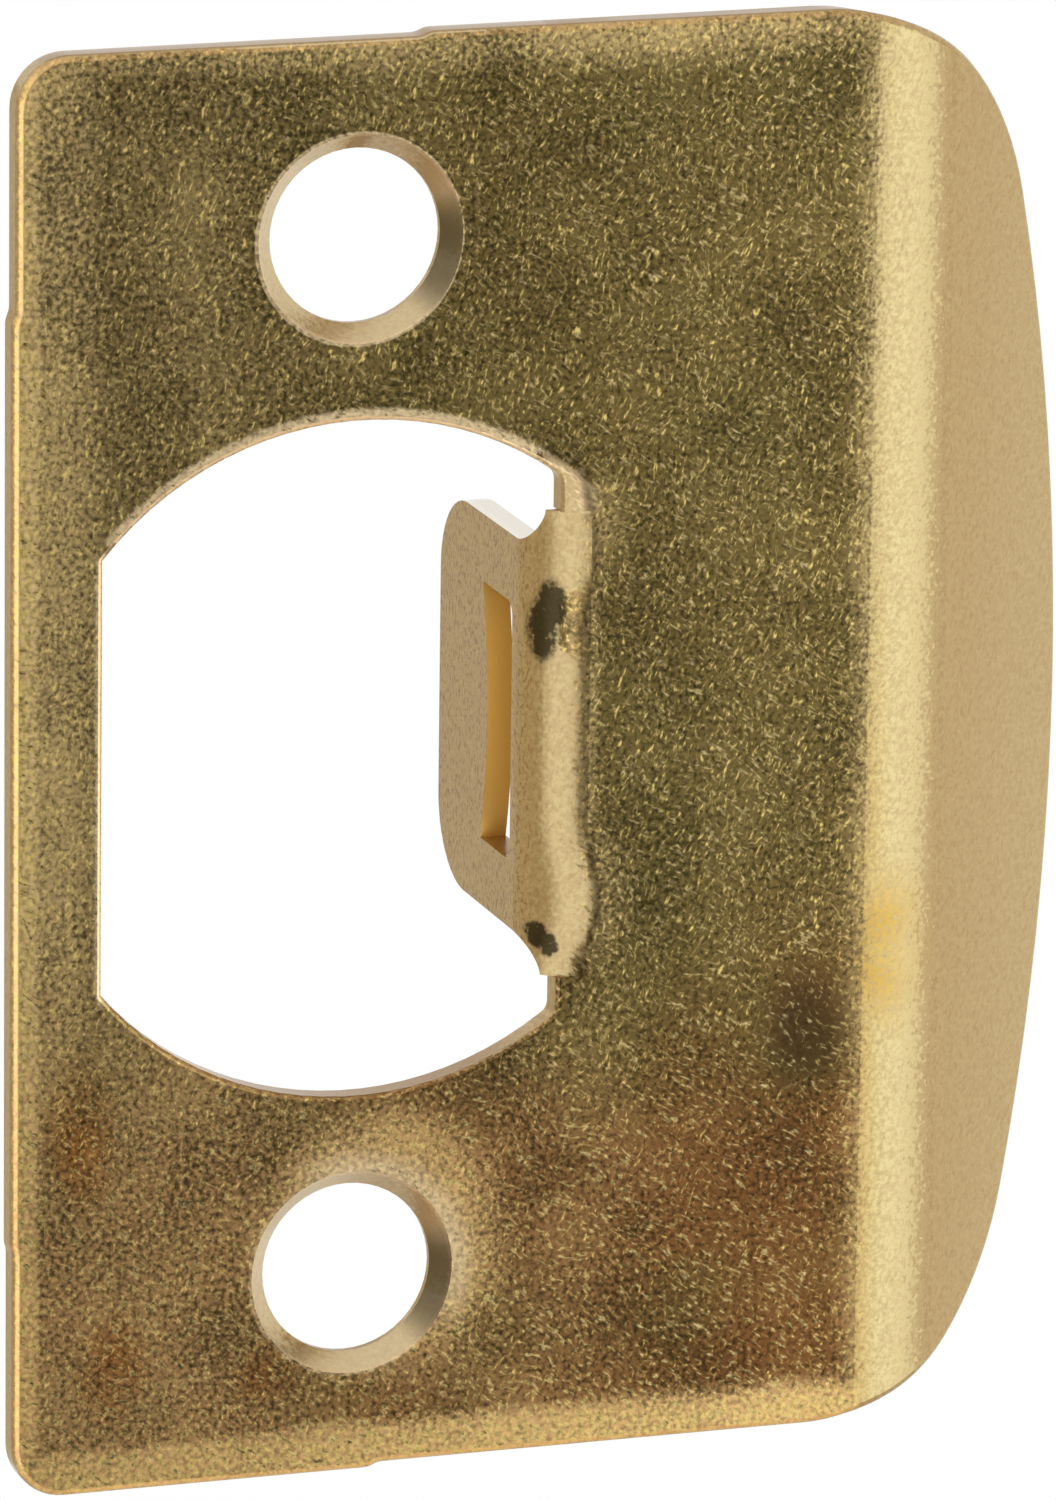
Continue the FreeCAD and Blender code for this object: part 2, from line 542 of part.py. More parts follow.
def front_skin(shape, s):
    """The faces of the sheet's front side by name, wherever the folds have turned them."""
    angle = math.radians(s["lip_angle"])
    flats = {"plate": Vector(0, -1, 0), "tang": Vector(-1, 0, 0),
             "lip": Vector(math.sin(angle), -math.cos(angle), 0)}
    reach = {"plate": s["sheet_thickness"], "tang": -s["tang_face_reach"]}
    bends = {"fold": s["tang_fold_radius"], "bend": s["lip_bend_radius"]}
    skin = {}
    for face in shape.Faces:
        upright = "Cylinder" in face.Surface.TypeId and abs(face.Surface.Axis.z) > 1 - SAME
        names = [n for n, r in bends.items() if upright and abs(face.Surface.Radius - r) < SAME]
        if "Plane" in face.Surface.TypeId:
            normal = face.normalAt(0, 0)
            names = [n for n, way in flats.items() if normal.getAngle(way) < SAME
                     and abs(face.CenterOfMass.dot(way) - reach.get(n, face.CenterOfMass.dot(way))) < SAME]
        for name in names:
            skin.setdefault(name, []).append(face)
    return skin


def cut_edges(shape, s):
    """Where the front side meets a cut wall: the name of each such edge, its middle and its face's name."""
    sides = {}
    for name, faces in front_skin(shape, s).items():
        for edge in [e for face in faces for e in face.Edges]:
            sides.setdefault(edge.hashCode(), []).append(name)
    found = []
    for number, edge in enumerate(shape.Edges, start=1):
        names = sides.get(edge.hashCode(), [])
        if len(names) == 1:
            middle = edge.valueAt((edge.FirstParameter + edge.LastParameter) / 2)
            found.append(("Edge%d" % number, middle, names[0]))
    return found


def roll(doc, body, name, radius_name, pick):
    """Rounds the front of the cut edges that pick chooses, as the punch draws the sheet down."""
    base = body.Tip
    edges = [edge for edge, middle, face in pick(base.Shape)]
    fillet = body.newObject("PartDesign::Fillet", name)
    fillet.Base = (base, edges)
    fillet.setExpression("Radius", "Sizes." + radius_name)
    doc.recompute()
    return fillet


def outline_roll(doc, body, s):
    """The roll along the whole outline of the plate and its lip."""
    def pick(shape):
        half = s["plate_height"] / 2 - s["plate_corner_radius"] / 2
        left = s["plate_corner_radius"] / 2 - s["left_reach"]
        return [e for e in cut_edges(shape, s) if e[2] in ("bend", "lip")
                or (e[2] == "plate" and (abs(e[1].z) > half or e[1].x < left))]
    return roll(doc, body, "OutlineRoll", "outline_roll", pick)


def opening_roll(doc, body, s):
    """The smaller roll round the latch opening, up to where the tang was torn free."""
    def pick(shape):
        half = s["opening_radius"] + SAME
        left = -s["opening_flat_reach"] - SAME
        torn = s["tang_fold_width"] / 2
        return [e for e in cut_edges(shape, s) if e[2] == "plate" and abs(e[1].z) < half
                and left < e[1].x and abs(abs(e[1].z) - torn) > SAME]
    return roll(doc, body, "OpeningRoll", "opening_roll", pick)


def screw_holes(doc, body, s):
    """The two countersunk screw holes, one above and one below the latch opening."""
    radius = s["screw_hole_diameter"] / 2
    height = s["screw_spacing"] / 2
    sketch = new_sketch(body, "ScrewHoleCentres", "XZ_Plane")
    sketch.AttachmentOffset = Placement(Vector(0, 0, s["sheet_thickness"]), Rotation())
    sketch.setExpression(".AttachmentOffset.Base.z", "Sizes.sheet_thickness")
    for side in (1, -1):
        ring = circle(sketch, point(0, side * height), radius)
        ends = ORIGIN + (ring, CENTRE) if side > 0 else (ring, CENTRE) + ORIGIN
        tie(sketch, "PointOnObject", ring, CENTRE, Y_AXIS)
        size(sketch, "Diameter", ring, value=2 * radius, name="screw_hole_diameter")
        size(sketch, "DistanceY", *ends, value=height, name="screw_spacing / 2")
    doc.recompute()
    hole = body.newObject("PartDesign::Hole", "ScrewHoles")
    hole.Profile = sketch
    doc.recompute()
    hole.DepthType = "ThroughAll"
    hole.HoleCutType = "Countersink"
    hole.setExpression("Diameter", "Sizes.screw_hole_diameter")
    hole.setExpression("HoleCutDiameter", "Sizes.countersink_diameter")
    hole.setExpression("HoleCutCountersinkAngle", "Sizes.countersink_angle")
    doc.recompute()
    return hole


def strike_plate(doc, s):
    """The whole part, one folded sheet."""
    body = doc.addObject("PartDesign::Body", "StrikePlate")
    body.Label = "strike_plate"
    doc.recompute()
    adds = (tang_fold, tang_leg, flat_plate, lip_blank)
    steps = (tang_fold, tang_relief, tang_leg, flat_plate, lip_blank, lip_trim,
             outline_roll, opening_roll, screw_holes)
    volume = 0.0
    for step in steps:
        feature = step(doc, body, s)
        grown = feature.Shape.Volume - volume
        print("%-12s changes the volume by %9.3f" % (feature.Name, grown))
        if (grown > 0) != (step in adds) or abs(grown) < SAME:
            raise RuntimeError("%s did not change the solid as it should" % feature.Name)
        volume = feature.Shape.Volume
    return body


def check(doc, parts):
    """Stops before anything is written if a feature has failed or a solid is not sound."""
    for thing in doc.Objects:
        if "Invalid" in thing.State or "Error" in thing.State:
            raise RuntimeError("%s has failed: %s" % (thing.Name, thing.State))
    for part in parts:
        shape = part.Shape
        if shape.isNull() or not shape.isValid() or len(shape.Solids) != 1:
            raise RuntimeError("%s is not one valid solid" % part.Label)


def main():
    doc = FreeCAD.newDocument("door_strike_plate")
    values = make_sheet(doc)
    parts = [strike_plate(doc, values)]
    doc.recompute()
    check(doc, parts)
    os.makedirs("parts", exist_ok=True)
    for part in parts:
        part.Shape.exportStep(os.path.join("parts", part.Label + ".step"))
        box = part.Shape.optimalBoundingBox()
        print("%s volume %.2f, box %.3f %.3f %.3f to %.3f %.3f %.3f"
              % (part.Label, part.Shape.Volume, box.XMin, box.YMin, box.ZMin, box.XMax, box.YMax, box.ZMax))


main()
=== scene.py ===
import bpy
import math
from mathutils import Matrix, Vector

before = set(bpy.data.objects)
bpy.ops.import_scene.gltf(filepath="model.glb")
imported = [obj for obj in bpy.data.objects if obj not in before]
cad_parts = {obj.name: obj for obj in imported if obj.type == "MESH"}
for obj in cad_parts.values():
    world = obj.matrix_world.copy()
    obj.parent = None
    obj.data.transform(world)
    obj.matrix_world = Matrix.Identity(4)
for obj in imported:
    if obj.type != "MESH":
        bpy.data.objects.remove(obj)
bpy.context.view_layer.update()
bpy.ops.object.select_all(action="DESELECT")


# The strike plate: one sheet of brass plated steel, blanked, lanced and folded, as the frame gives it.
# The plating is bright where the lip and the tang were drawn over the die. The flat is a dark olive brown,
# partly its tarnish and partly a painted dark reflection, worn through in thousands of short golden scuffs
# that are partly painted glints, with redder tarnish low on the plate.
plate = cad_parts["strike_plate"]

CLEAN_BRASS = (0.54, 0.39, 0.182, 1)
WORN_BRASS = (0.9, 0.57, 0.25, 1)
OLIVE_TARNISH_AND_DARK_REFLECTION = (0.165, 0.109, 0.032, 1)
RED_TARNISH = (0.24, 0.103, 0.034, 1)
BLACK_TARNISH_AND_SHADE = (0.03, 0.022, 0.009, 1)
AMBER = (0.5, 0.28, 0.055, 1)
GOLD_SCUFF_AND_GLINT = (0.95, 0.63, 0.2, 1)
CUT_STEEL = (0.26, 0.15, 0.07, 1)
BARE_STEEL_AND_HIGHLIGHT = (0.8, 0.75, 0.65, 1)
SLOT_GOLD = (1, 0.64, 0.17, 1)
PALE_RIM_AND_HIGHLIGHT = (1, 0.68, 0.37, 1)
PALE_CONE = (0.78, 0.65, 0.41, 1)
TANG_ROOT = 0.0094975
FOLD_RADIUS = 0.0023
SCREW_HEIGHT = 0.0206375
BROWN_TINT = (0.76, 0.47, 0.32, 1)
PALE_LIP = (0.75, 0.64, 0.36, 1)


def scuff_group():
    """Short scuffs over a surface, running one way. Amount is how much of it they cover."""
    tree = bpy.data.node_groups.new("Scuffs", "ShaderNodeTree")
    for name, kind in (("Vector", "NodeSocketVector"), ("Turn", "NodeSocketVector"),
                       ("Stretch", "NodeSocketVector"), ("Scale", "NodeSocketFloat"),
                       ("Amount", "NodeSocketFloat")):
        tree.interface.new_socket(name, in_out="INPUT", socket_type=kind)
    tree.interface.new_socket("Mask", in_out="OUTPUT", socket_type="NodeSocketFloat")
    tree.interface.new_socket("Grain", in_out="OUTPUT", socket_type="NodeSocketFloat")
    inside = tree.nodes.new("NodeGroupInput")
    outside = tree.nodes.new("NodeGroupOutput")
    turned = tree.nodes.new("ShaderNodeMapping")
    grain = tree.nodes.new("ShaderNodeTexNoise")
    least = tree.nodes.new("ShaderNodeMath")
    most = tree.nodes.new("ShaderNodeMath")
    edge = tree.nodes.new("ShaderNodeMapRange")
    turned.vector_type = "TEXTURE"
    grain.inputs["Detail"].default_value = 1.0
    grain.inputs["Roughness"].default_value = 0.6
    least.operation = "SUBTRACT"
    least.inputs[0].default_value = 0.72
    most.operation = "ADD"
    most.inputs[1].default_value = 0.2
    link = tree.links.new
    link(inside.outputs["Vector"], turned.inputs["Vector"])
    link(inside.outputs["Turn"], turned.inputs["Rotation"])
    link(inside.outputs["Stretch"], turned.inputs["Scale"])
    link(turned.outputs["Vector"], grain.inputs["Vector"])
    link(inside.outputs["Scale"], grain.inputs["Scale"])
    link(inside.outputs["Amount"], least.inputs[1])
    link(least.outputs[0], most.inputs[0])
    link(grain.outputs["Fac"], edge.inputs["Value"])
    link(least.outputs[0], edge.inputs["From Min"])
    link(most.outputs[0], edge.inputs["From Max"])
    link(edge.outputs["Result"], outside.inputs["Mask"])
    link(grain.outputs["Fac"], outside.inputs["Grain"])
    return tree


def sheet_finish():
    """The worn brass plating of the whole sheet."""
    finish = bpy.data.materials.new("worn_brass_plating")
    finish.use_nodes = True
    nodes = finish.node_tree.nodes
    link = finish.node_tree.links.new
    metal = nodes["Principled BSDF"]
    place = nodes.new("ShaderNodeTexCoord")
    split = nodes.new("ShaderNodeSeparateXYZ")
    facing = nodes.new("ShaderNodeSeparateXYZ")
    link(place.outputs["Object"], split.inputs[0])
    link(place.outputs["Normal"], facing.inputs[0])
    x, y, z = split.outputs
    facing_x, facing_y, facing_z = facing.outputs

    def ramp(value, low, high):
        node = nodes.new("ShaderNodeMapRange")
        node.interpolation_type = "SMOOTHSTEP"
        node.inputs["From Min"].default_value = low
        node.inputs["From Max"].default_value = high
        link(value, node.inputs["Value"])
        return node.outputs["Result"]

    def calc(operation, *values):
        node = nodes.new("ShaderNodeMath")
        node.operation = operation
        for index, value in enumerate(values):
            if isinstance(value, (int, float)):
                node.inputs[index].default_value = value
            else:
                link(value, node.inputs[index])
        return node.outputs[0]

    def spot(across, up, half_width, half_height, hard=0.5):
        """A round or oval patch of the plate: 1 at its middle, 0 from its edge outwards."""
        side = calc("MULTIPLY", calc("SUBTRACT", x, across), 1 / half_width)
        rise = calc("MULTIPLY", calc("SUBTRACT", z, up), 1 / half_height)
        away = calc("SQRT", calc("ADD", calc("MULTIPLY", side, side), calc("MULTIPLY", rise, rise)))
        return ramp(away, 1, hard)

    def most(*masks):
        found = masks[0]
        for mask in masks[1:]:
            found = calc("MAXIMUM", found, mask)
        return found

    def noise(scale, detail, shift, output="Fac"):
        moved = nodes.new("ShaderNodeMapping")
        moved.vector_type = "TEXTURE"
        moved.inputs["Location"].default_value = (shift, shift, shift)
        node = nodes.new("ShaderNodeTexNoise")
        node.inputs["Scale"].default_value = scale
        node.inputs["Detail"].default_value = detail
        node.inputs["Roughness"].default_value = 0.6
        link(place.outputs["Object"], moved.inputs["Vector"])
        link(moved.outputs["Vector"], node.inputs["Vector"])
        return node.outputs[output]

    def mix(mask, under, over, blend="MIX"):
        node = nodes.new("ShaderNodeMix")
        node.data_type = "RGBA"
        node.blend_type = blend
        link(mask, node.inputs["Factor"])
        for index, colour in ((6, under), (7, over)):
            if isinstance(colour, tuple):
                node.inputs[index].default_value = colour
            else:
                link(colour, node.inputs[index])
        return node.outputs[2]

    # The grain's own coordinates, which wander from the plate's within 0.9 mm
    drift = nodes.new("ShaderNodeVectorMath")
    drift.operation = "MULTIPLY_ADD"
    link(noise(480, 0, 0.7, output="Color"), drift.inputs[0])
    drift.inputs[1].default_value = (0.0009, 0.0009, 0.0009)
    link(place.outputs["Object"], drift.inputs[2])

    def scuffs(turn, length, scale, amount):
        node = nodes.new("ShaderNodeGroup")
        node.node_tree = scuff_tree
        link(drift.outputs[0], node.inputs["Vector"])
        node.inputs["Turn"].default_value = (0, math.radians(turn), 0)
        node.inputs["Stretch"].default_value = (length, 1, 1)
        node.inputs["Scale"].default_value = scale
        if isinstance(amount, (int, float)):
            node.inputs["Amount"].default_value = amount
        else:
            link(amount, node.inputs["Amount"])
        return node.outputs["Mask"], node.outputs["Grain"]

    # Rubbed places: the left edge and half, the foot and the head, the ground round the lower hole, both
    # ends of the tang's fold and the flat beside it, and the flat along the lip's bend
    cloud = noise(230, 1, 0.3)
    speck = noise(4800, 1, 2.3)
    height = calc("ABSOLUTE", z)
    low = ramp(z, -0.004, -0.018)
    beside_fold = calc("MULTIPLY", ramp(x, 0.0103, 0.0092), ramp(x, 0.0083, 0.0088))
    rubbed = most(calc("MULTIPLY", ramp(x, -0.0085, -0.0122), calc("MULTIPLY_ADD", low, -0.2, 0.68)),
                  calc("MULTIPLY", ramp(x, -0.0122, -0.0132), 1.3),
                  calc("MULTIPLY", ramp(z, -0.026, -0.0278), 1.3),
                  calc("MULTIPLY", ramp(z, 0.0262, 0.0282), 0.6),
                  calc("MULTIPLY", ramp(x, 0.006, -0.008), calc("MULTIPLY_ADD", low, 0.3, 0.26)),
                  calc("MULTIPLY", calc("MULTIPLY", low, ramp(x, 0.016, 0.008)), 0.26),
                  calc("MULTIPLY", spot(0.0008, -0.0196, 0.0074, 0.0074, 0.5), 0.85),
                  calc("MULTIPLY", spot(0.0096, -0.006, 0.0026, 0.0046, 0), 0.5),
                  calc("MULTIPLY", spot(0.0094, 0.0085, 0.0022, 0.0032, 0), 0.45),
                  calc("MULTIPLY", calc("MULTIPLY", beside_fold, ramp(height, 0.0095, 0.008)), 0.5),
                  calc("MULTIPLY", ramp(x, 0.0195, 0.0213), 0.5))
    rubbed = calc("ADD", rubbed, calc("MULTIPLY_ADD", cloud, 0.3, -0.14))

    # Scuffs, partly painted glints: two crossing grains, the steeper one stronger at the top of the plate,
    # and longer scratches
    dense = calc("MULTIPLY_ADD", rubbed, 0.12, 0.17)
    steep, steep_grain = scuffs(112, 2.4, 7000, calc("MULTIPLY_ADD", low, -0.05, calc("ADD", dense, 0.01)))
    falling, grain = scuffs(35, 2.6, 6400, calc("MULTIPLY_ADD", low, 0.05, calc("SUBTRACT", dense, 0.03)))
    worn = most(steep, falling)
    scratched = scuffs(155, 16, 2600, 0.0)[0]

    # The flat of the front and of the back as far as the bends, its edge ragged along the grain. Round
    # the two ends of the tang's fold the sheet leans back with the fold, and there it takes the bright
    # plating as a painted highlight.
    waist = ramp(calc("ABSOLUTE", calc("SUBTRACT", z, 0.0049)), 0.0017, 0.0007)
    waist = calc("MULTIPLY", waist, calc("COMPARE", x, 0.0088, 0.001))
    front = calc("MULTIPLY_ADD", waist, -0.00024, calc("MULTIPLY_ADD", grain, 0.0003, y))
    front = ramp(front, -0.00074, -0.00089)
    back = calc("MULTIPLY", calc("COMPARE", y, 0.0, 0.00004), calc("GREATER_THAN", facing_y, 0.5))
    sheet = most(front, back)
    upper = calc("MULTIPLY", ramp(z, 0.0054, 0.0076), ramp(z, 0.0104, 0.0082))
    lower = calc("MULTIPLY", ramp(z, -0.0028, -0.0062), ramp(z, -0.009, -0.0066))
    reach = calc("MULTIPLY_ADD", upper, 0.00036, calc("MULTIPLY", lower, 0.00066))
    inward = calc("MAXIMUM", calc("SUBTRACT", calc("ADD", reach, TANG_ROOT), x), 0)
    inward = calc("MULTIPLY", inward, calc("MULTIPLY", ramp(z, 0.0121, 0.0099), ramp(z, -0.0095, -0.008)))
    inward = calc("MULTIPLY", inward, calc("GREATER_THAN", x, 0.0072))
    lean = calc("MINIMUM", inward, calc("MULTIPLY_ADD", ramp(height, 0.0092, 0.0095), 0.0009, reach))
    lean = calc("MULTIPLY", lean, calc("MULTIPLY", calc("LESS_THAN", facing_y, -0.15), 1 / FOLD_RADIUS))
    ragged = calc("MULTIPLY_ADD", waist, -0.45, calc("MULTIPLY", grain, 0.9))
    fold_end_painted_highlight = ramp(calc("MULTIPLY_ADD", inward, 1 / FOLD_RADIUS, ragged), 0.5, 0.8)
    # The rims of the opening's head, of both screw holes and of the opening's left side: partly worn bright,
    # partly a painted highlight along their rolled edges
    beside = calc("MULTIPLY", ramp(x, -0.0109, -0.0102), ramp(height, 0.0096, 0.0084))
    rim_wear_and_highlight = most(calc("MULTIPLY", spot(0.00015, 0, 0.0143, 0.0143, 0.96), ramp(z, 0.0088, 0.0096)),
               calc("MULTIPLY", spot(-0.00005, -SCREW_HEIGHT, 0.0043, 0.0043, 0.97), 0.55),
               calc("MULTIPLY", beside, calc("LESS_THAN", x, 0)),
               calc("MULTIPLY", spot(-0.00005, SCREW_HEIGHT, 0.0043, 0.0043, 0.97), 0.7))
    rim_wear_and_highlight = calc("MULTIPLY", ramp(calc("MULTIPLY_ADD", grain, 0.8, rim_wear_and_highlight), 0.7, 1.3), ramp(x, 0.0099, 0.0088))
    flat = calc("MULTIPLY", sheet, ramp(calc("MULTIPLY_ADD", steep_grain, 0.0016, x), 0.0222, 0.0213))
    flat = calc("MULTIPLY", flat, calc("SUBTRACT", 1, fold_end_painted_highlight))

    # Tarnish: olive overall, its darkness partly a painted dark reflection, red brown in patches towards the
    # foot, nearly black in small pits
    patch = noise(130, 1, 1.7)
    red = calc("MULTIPLY", ramp(patch, 0.2, 0.62), calc("MULTIPLY_ADD", low, 0.8, 0.14))
    red = most(red, calc("MULTIPLY", spot(0.0187, -0.0115, 0.0026, 0.0036, 0.2), 0.9))
    burnt = most(spot(-0.0111, -0.0147, 0.0028, 0.0056, 0), spot(-0.0098, -0.0238, 0.003, 0.0044, 0),
                 spot(-0.0036, -0.0243, 0.0034, 0.0026, 0))
    dark = calc("MULTIPLY", spot(0.0187, -0.0122, 0.0028, 0.004, 0.2), 0.7)
    flat_colour = mix(red, OLIVE_TARNISH_AND_DARK_REFLECTION, RED_TARNISH)
    flat_colour = mix(calc("MULTIPLY", ramp(rubbed, -0.07, 1.3), 0.95), flat_colour, WORN_BRASS)
    flat_colour = mix(calc("MULTIPLY", worn, calc("MULTIPLY_ADD", dark, -0.4, 0.44)), flat_colour, GOLD_SCUFF_AND_GLINT)
    burnt = most(calc("MULTIPLY", low, 0.36), calc("MULTIPLY", burnt, ramp(cloud, 0.15, 0.5)))
    flat_colour = mix(burnt, flat_colour, BROWN_TINT, "MULTIPLY")
    # Painted glints: brighter gold on the tops of the scuffs and along the long scratches
    painted_glint = most(ramp(worn, 0.55, 1), calc("MULTIPLY", scratched, 0.7))
    flat_colour = mix(calc("MULTIPLY", painted_glint, 0.75), flat_colour, GOLD_SCUFF_AND_GLINT)
    shade = ramp(calc("MULTIPLY_ADD", cloud, 0.5, speck), 0.88, 0.44)
    shade = calc("MULTIPLY", shade, calc("MULTIPLY_ADD", ramp(rubbed, 0.5, 1.1), -0.45, 0.72))
    flat_colour = mix(most(shade, dark), flat_colour, BLACK_TARNISH_AND_SHADE)
    # Painted highlight: a pale crescent on the upper right of the lower screw hole, mixed in pale together
    # with the rims
    painted_crescent_highlight = spot(0, -SCREW_HEIGHT, 0.0054, 0.0054, 0.77)
    painted_crescent_highlight = calc("MULTIPLY", painted_crescent_highlight, ramp(calc("ADD", x, z), -0.0202, -0.0166))
    pale = most(calc("MULTIPLY", rim_wear_and_highlight, 0.85), calc("MULTIPLY", painted_crescent_highlight, 0.7))
    flat_colour = mix(pale, flat_colour, PALE_RIM_AND_HIGHLIGHT)

    # Bright plating on the bends, the lip and the tang, with short upright marks, an amber stain on the
    # band beside the flat, and a lip that pales outwards
    marks = ramp(steep_grain, 0.47, 0.35)
    leg = calc("MULTIPLY", ramp(y, -0.0006, 0.0012), calc("LESS_THAN", x, 0.009))
    bright = mix(calc("MULTIPLY", marks, calc("MULTIPLY_ADD", leg, 0.56, 0.18)), CLEAN_BRASS, RED_TARNISH)
    fringe = calc("MULTIPLY", ramp(x, 0.0222, 0.021), calc("GREATER_THAN", x, 0.019))
    amber = spot(0.0217, -0.0092, 0.0028, 0.0046, 0.0)
    speckled = calc("MULTIPLY", ramp(cloud, 0.1, 0.5), ramp(speck, 0.2, 0.6))
    amber = calc("MULTIPLY", calc("MULTIPLY", amber, 1.2), speckled)
    amber = most(amber, calc("MULTIPLY", fringe, calc("MULTIPLY_ADD", ramp(z, 0.01, -0.006), 0.3, 0.15)))
    amber = calc("MULTIPLY", amber, calc("LESS_THAN", facing_y, 0))
    bright = mix(amber, bright, AMBER)
    lip = ramp(x, 0.0245, 0.0303)
    bright = mix(calc("MULTIPLY", lip, 0.16), bright, PALE_LIP)
    mottle = calc("MULTIPLY_ADD", calc("GREATER_THAN", x, 0.0245), -0.5, 1)
    mottle = calc("MULTIPLY", ramp(speck, 0.68, 0.36), calc("MULTIPLY", mottle, 0.26))
    bright = mix(mottle, bright, RED_TARNISH)
    bright = mix(calc("MULTIPLY", leg, 0.1), bright, AMBER)
    colour = mix(flat, bright, flat_colour)

    # Two dark stains on the tang's fold, and pale countersinks with bronze tarnish at the right and a painted
    # shade darkening their right side
    stain = most(spot(0.0081, 0.0056, 0.0007, 0.0015, 0.1), spot(0.0078, 0.0046, 0.0007, 0.002, 0.1),
                 spot(0.0077, -0.0076, 0.0005, 0.0006, 0.1), spot(0.0079, -0.0079, 0.0006, 0.0006, 0.3),
                 spot(0.0081, -0.0082, 0.0005, 0.0006, 0.1))
    blotch = calc("SUBTRACT", noise(1300, 2, 4.1), 0.45)
    stain = calc("MULTIPLY", stain, calc("MULTIPLY_ADD", speck, 0.9, blotch))
    stain = calc("MULTIPLY", ramp(stain, 0.05, 0.3), calc("COMPARE", x, 0.0079, 0.001))
    stain = calc("MULTIPLY", stain, calc("LESS_THAN", facing_y, -0.3))
    # Painted shade: each countersink is darkened on its right side, chosen by the way its face turns
    painted_cone_shade = ramp(calc("MULTIPLY_ADD", facing_z, 0.22, calc("MULTIPLY", facing_x, -0.97)), 0.55, 0.74)
    bronze = ramp(calc("MULTIPLY_ADD", facing_z, -0.7, calc("MULTIPLY", facing_x, -0.7)), 0.35, 0.7)
    cone = calc("MULTIPLY", calc("COMPARE", facing_y, -0.65, 0.1), calc("GREATER_THAN", height, 0.016))
    cone = calc("MULTIPLY", cone, calc("COMPARE", x, 0, 0.005))
    colour = mix(calc("MULTIPLY", cone, 0.45), colour, PALE_CONE)
    bronze = calc("MULTIPLY", calc("MULTIPLY", bronze, cone), calc("MULTIPLY", speck, 0.7))
    colour = mix(bronze, colour, RED_TARNISH)
    painted_cone_shade = calc("MULTIPLY", painted_cone_shade, cone)
    colour = mix(most(calc("MULTIPLY", stain, 0.93), calc("MULTIPLY", painted_cone_shade, 0.76)), colour, BLACK_TARNISH_AND_SHADE)

    # Walls cut by the punch, browner than the faces, the tang's upper one bare steel and painted pale as a
    # highlight from above, and its slot's golden one
    edge = ramp(calc("ABSOLUTE", facing_z), 0.8, 0.95)
    colour = mix(calc("MULTIPLY", edge, 0.6), colour, CUT_STEEL)
    # Partly bare steel, partly a painted highlight: the tang's upward facing cut wall is made pale
    top = calc("MULTIPLY", ramp(facing_z, 0.8, 0.95), calc("GREATER_THAN", z, 0.0065))
    colour = mix(calc("MULTIPLY", top, leg), colour, BARE_STEEL_AND_HIGHLIGHT)
    slot = calc("MULTIPLY", calc("COMPARE", y, 0.0047, 0.0012), calc("LESS_THAN", facing_y, -0.5))
    slot = calc("MULTIPLY", slot, calc("LESS_THAN", x, 0.0085))
    colour = mix(slot, colour, SLOT_GOLD)

    # The normal takes the lean, and a fine grain that breaks up every reflection
    tilt = nodes.new("ShaderNodeCombineXYZ")
    bend = calc("MULTIPLY", ramp(x, 0.0262, 0.0236), ramp(x, 0.0213, 0.0221))
    bend = calc("MULTIPLY_ADD", bend, 0.28, 0.12)
    link(calc("SUBTRACT", calc("MULTIPLY", calc("SUBTRACT", speck, 0.5), bend), lean), tilt.inputs[0])
    link(calc("MULTIPLY", calc("SUBTRACT", grain, 0.5), 0.12), tilt.inputs[2])
    leant = nodes.new("ShaderNodeVectorMath")
    leant.operation = "ADD"
    link(nodes.new("ShaderNodeNewGeometry").outputs["Normal"], leant.inputs[0])
    link(tilt.outputs[0], leant.inputs[1])
    level = nodes.new("ShaderNodeVectorMath")
    level.operation = "NORMALIZE"
    link(leant.outputs[0], level.inputs[0])
    link(colour, metal.inputs["Base Color"])
    fold = calc("MULTIPLY", ramp(x, 0.0108, 0.009), calc("GREATER_THAN", x, 0.0075))
    rough = most(calc("MULTIPLY", flat, 0.1), calc("MULTIPLY", fold, 0.1), calc("MULTIPLY", slot, 0.3))
    link(calc("ADD", rough, calc("MULTIPLY_ADD", speck, 0.12, 0.15)), metal.inputs["Roughness"])
    link(level.outputs[0], metal.inputs["Normal"])
    metal.inputs["Metallic"].default_value = 1.0
    return finish


scuff_tree = scuff_group()
plate.data.materials.clear()
plate.data.materials.append(sheet_finish())


# The table under the part: a round of pale card, below the camera's view, that takes its shadow.
bpy.ops.mesh.primitive_circle_add(vertices=96, radius=0.2, fill_type="NGON", location=(0, 0, -0.14))
floor = bpy.context.object
floor.name = "floor"
pale = bpy.data.materials.new("pale_card")
pale.use_nodes = True
pale.node_tree.nodes["Principled BSDF"].inputs["Base Color"].default_value = (0.85, 0.85, 0.85, 1)
pale.node_tree.nodes["Principled BSDF"].inputs["Roughness"].default_value = 0.7
floor.data.materials.append(pale)


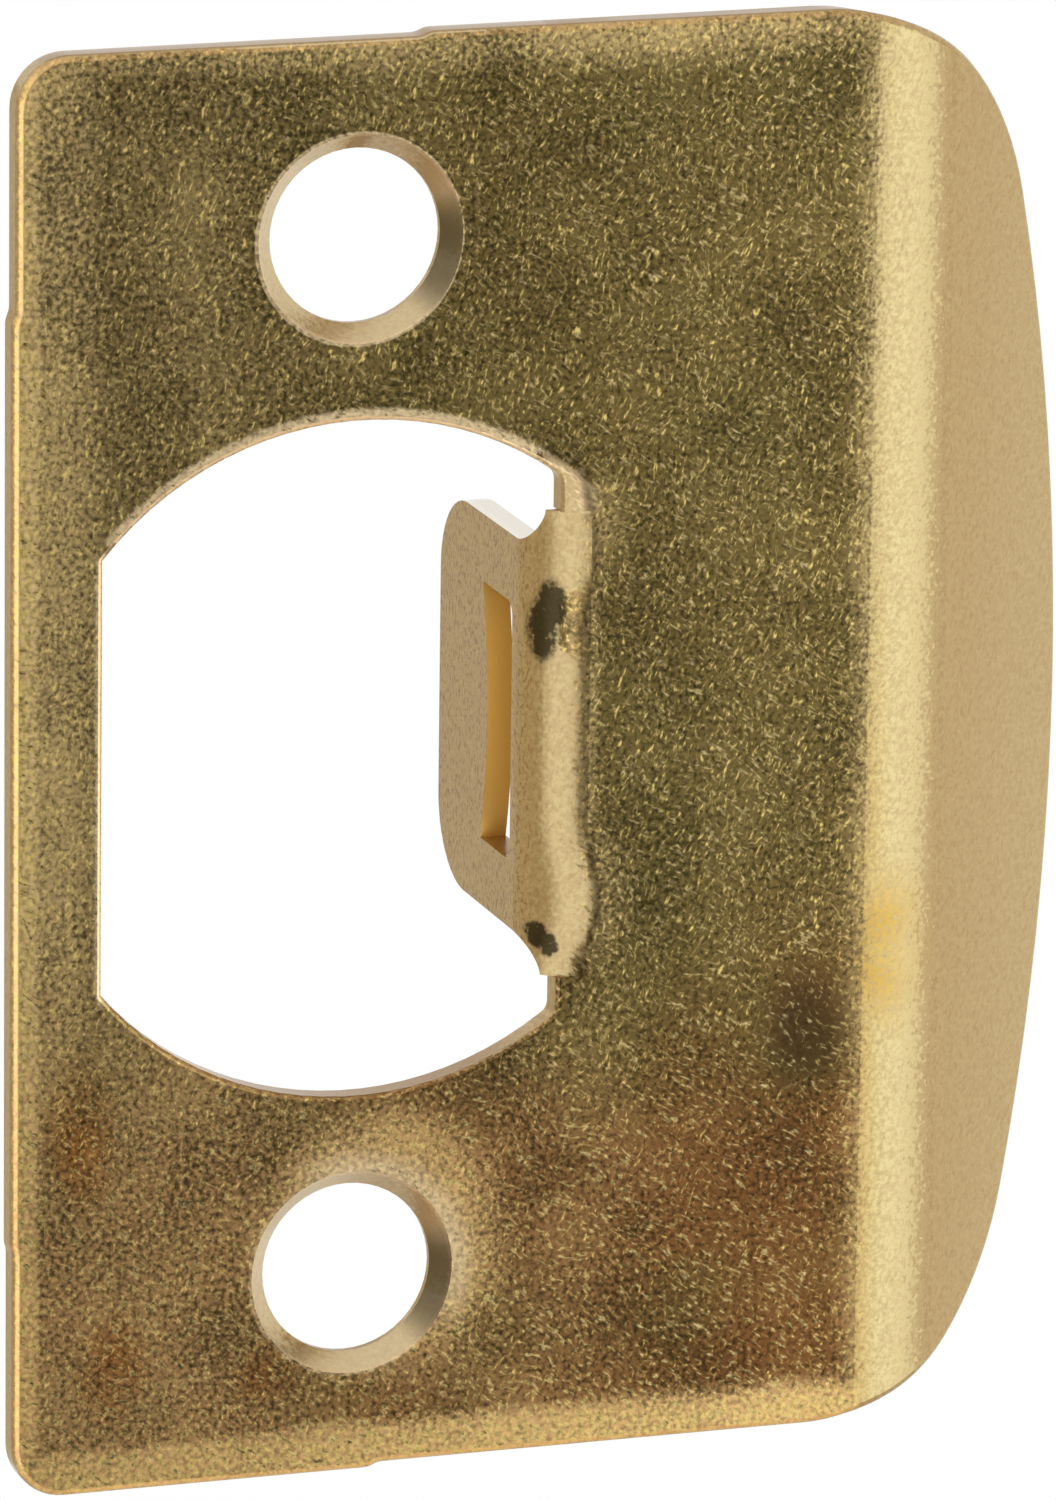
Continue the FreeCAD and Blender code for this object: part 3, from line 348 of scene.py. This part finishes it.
# Cards that the metal reflects: a black one and a bright one to the right of the camera, a bright one
# below it, and a duller one to its left and behind the part. They only show in gloss.
def card(name, left, right, low, high, glow_colour):
    """A card on the circle of radius 0.5 m round the part, between two bearings from the plate's face."""
    bpy.ops.mesh.primitive_plane_add(size=1)
    made = bpy.context.object
    made.name = name
    middle = math.radians((left + right) / 2)
    tilt = math.radians((low + high) / 2)
    away = Vector((math.sin(middle) * math.cos(tilt), -math.cos(middle) * math.cos(tilt), math.sin(tilt)))
    made.scale = (math.tan(math.radians(right - left) / 2), math.tan(math.radians(high - low) / 2), 1)
    made.rotation_euler = away.to_track_quat("Z", "Y").to_euler()
    made.location = away * 0.5
    look = bpy.data.materials.new(name)
    look.use_nodes = True
    look.node_tree.nodes.clear()
    glow = look.node_tree.nodes.new("ShaderNodeEmission")
    glow.inputs["Color"].default_value = glow_colour + (1,)
    glow.inputs["Strength"].default_value = 1
    out = look.node_tree.nodes.new("ShaderNodeOutputMaterial")
    look.node_tree.links.new(glow.outputs[0], out.inputs["Surface"])
    look.cycles.emission_sampling = "NONE"
    made.data.materials.append(look)
    made.visible_camera = False
    made.visible_diffuse = False
    made.visible_shadow = False


card("black_card_right", -1, 21.5, -50, 15, (0.03, 0.03, 0.03))
card("bright_card_right", 21.8, 58, -50, 15, (1.65, 1.92, 2.05))
card("bright_card_left", -66, -3, -50, -2, (1.45, 1.6, 1.75))
card("dull_card_left", -175, -68, -45, 10, (0.72, 0.68, 0.56))


# Plain white surroundings at the level where a colour shows as it is written.
world = bpy.data.worlds.new("white_room")
world.use_nodes = True
world.node_tree.nodes["Background"].inputs["Color"].default_value = (1, 1, 1, 1)
world.node_tree.nodes["Background"].inputs["Strength"].default_value = 1.0
world.cycles.sampling_method = "NONE"
bpy.context.scene.world = world
bpy.context.scene.view_settings.view_transform = "Standard"


# The camera: left of the plate and above it, with a long lens.
lens = bpy.data.cameras.new("camera")
lens.sensor_width = 36
lens.lens = 291.842
lens.clip_start = 0.01
camera = bpy.data.objects.new("camera", lens)
camera.location = (-0.139614, -0.433569, 0.119486)
camera.rotation_euler = [math.radians(a) for a in (75.333, -0.699, -18.5419)]
bpy.context.scene.collection.objects.link(camera)
bpy.context.scene.camera = camera
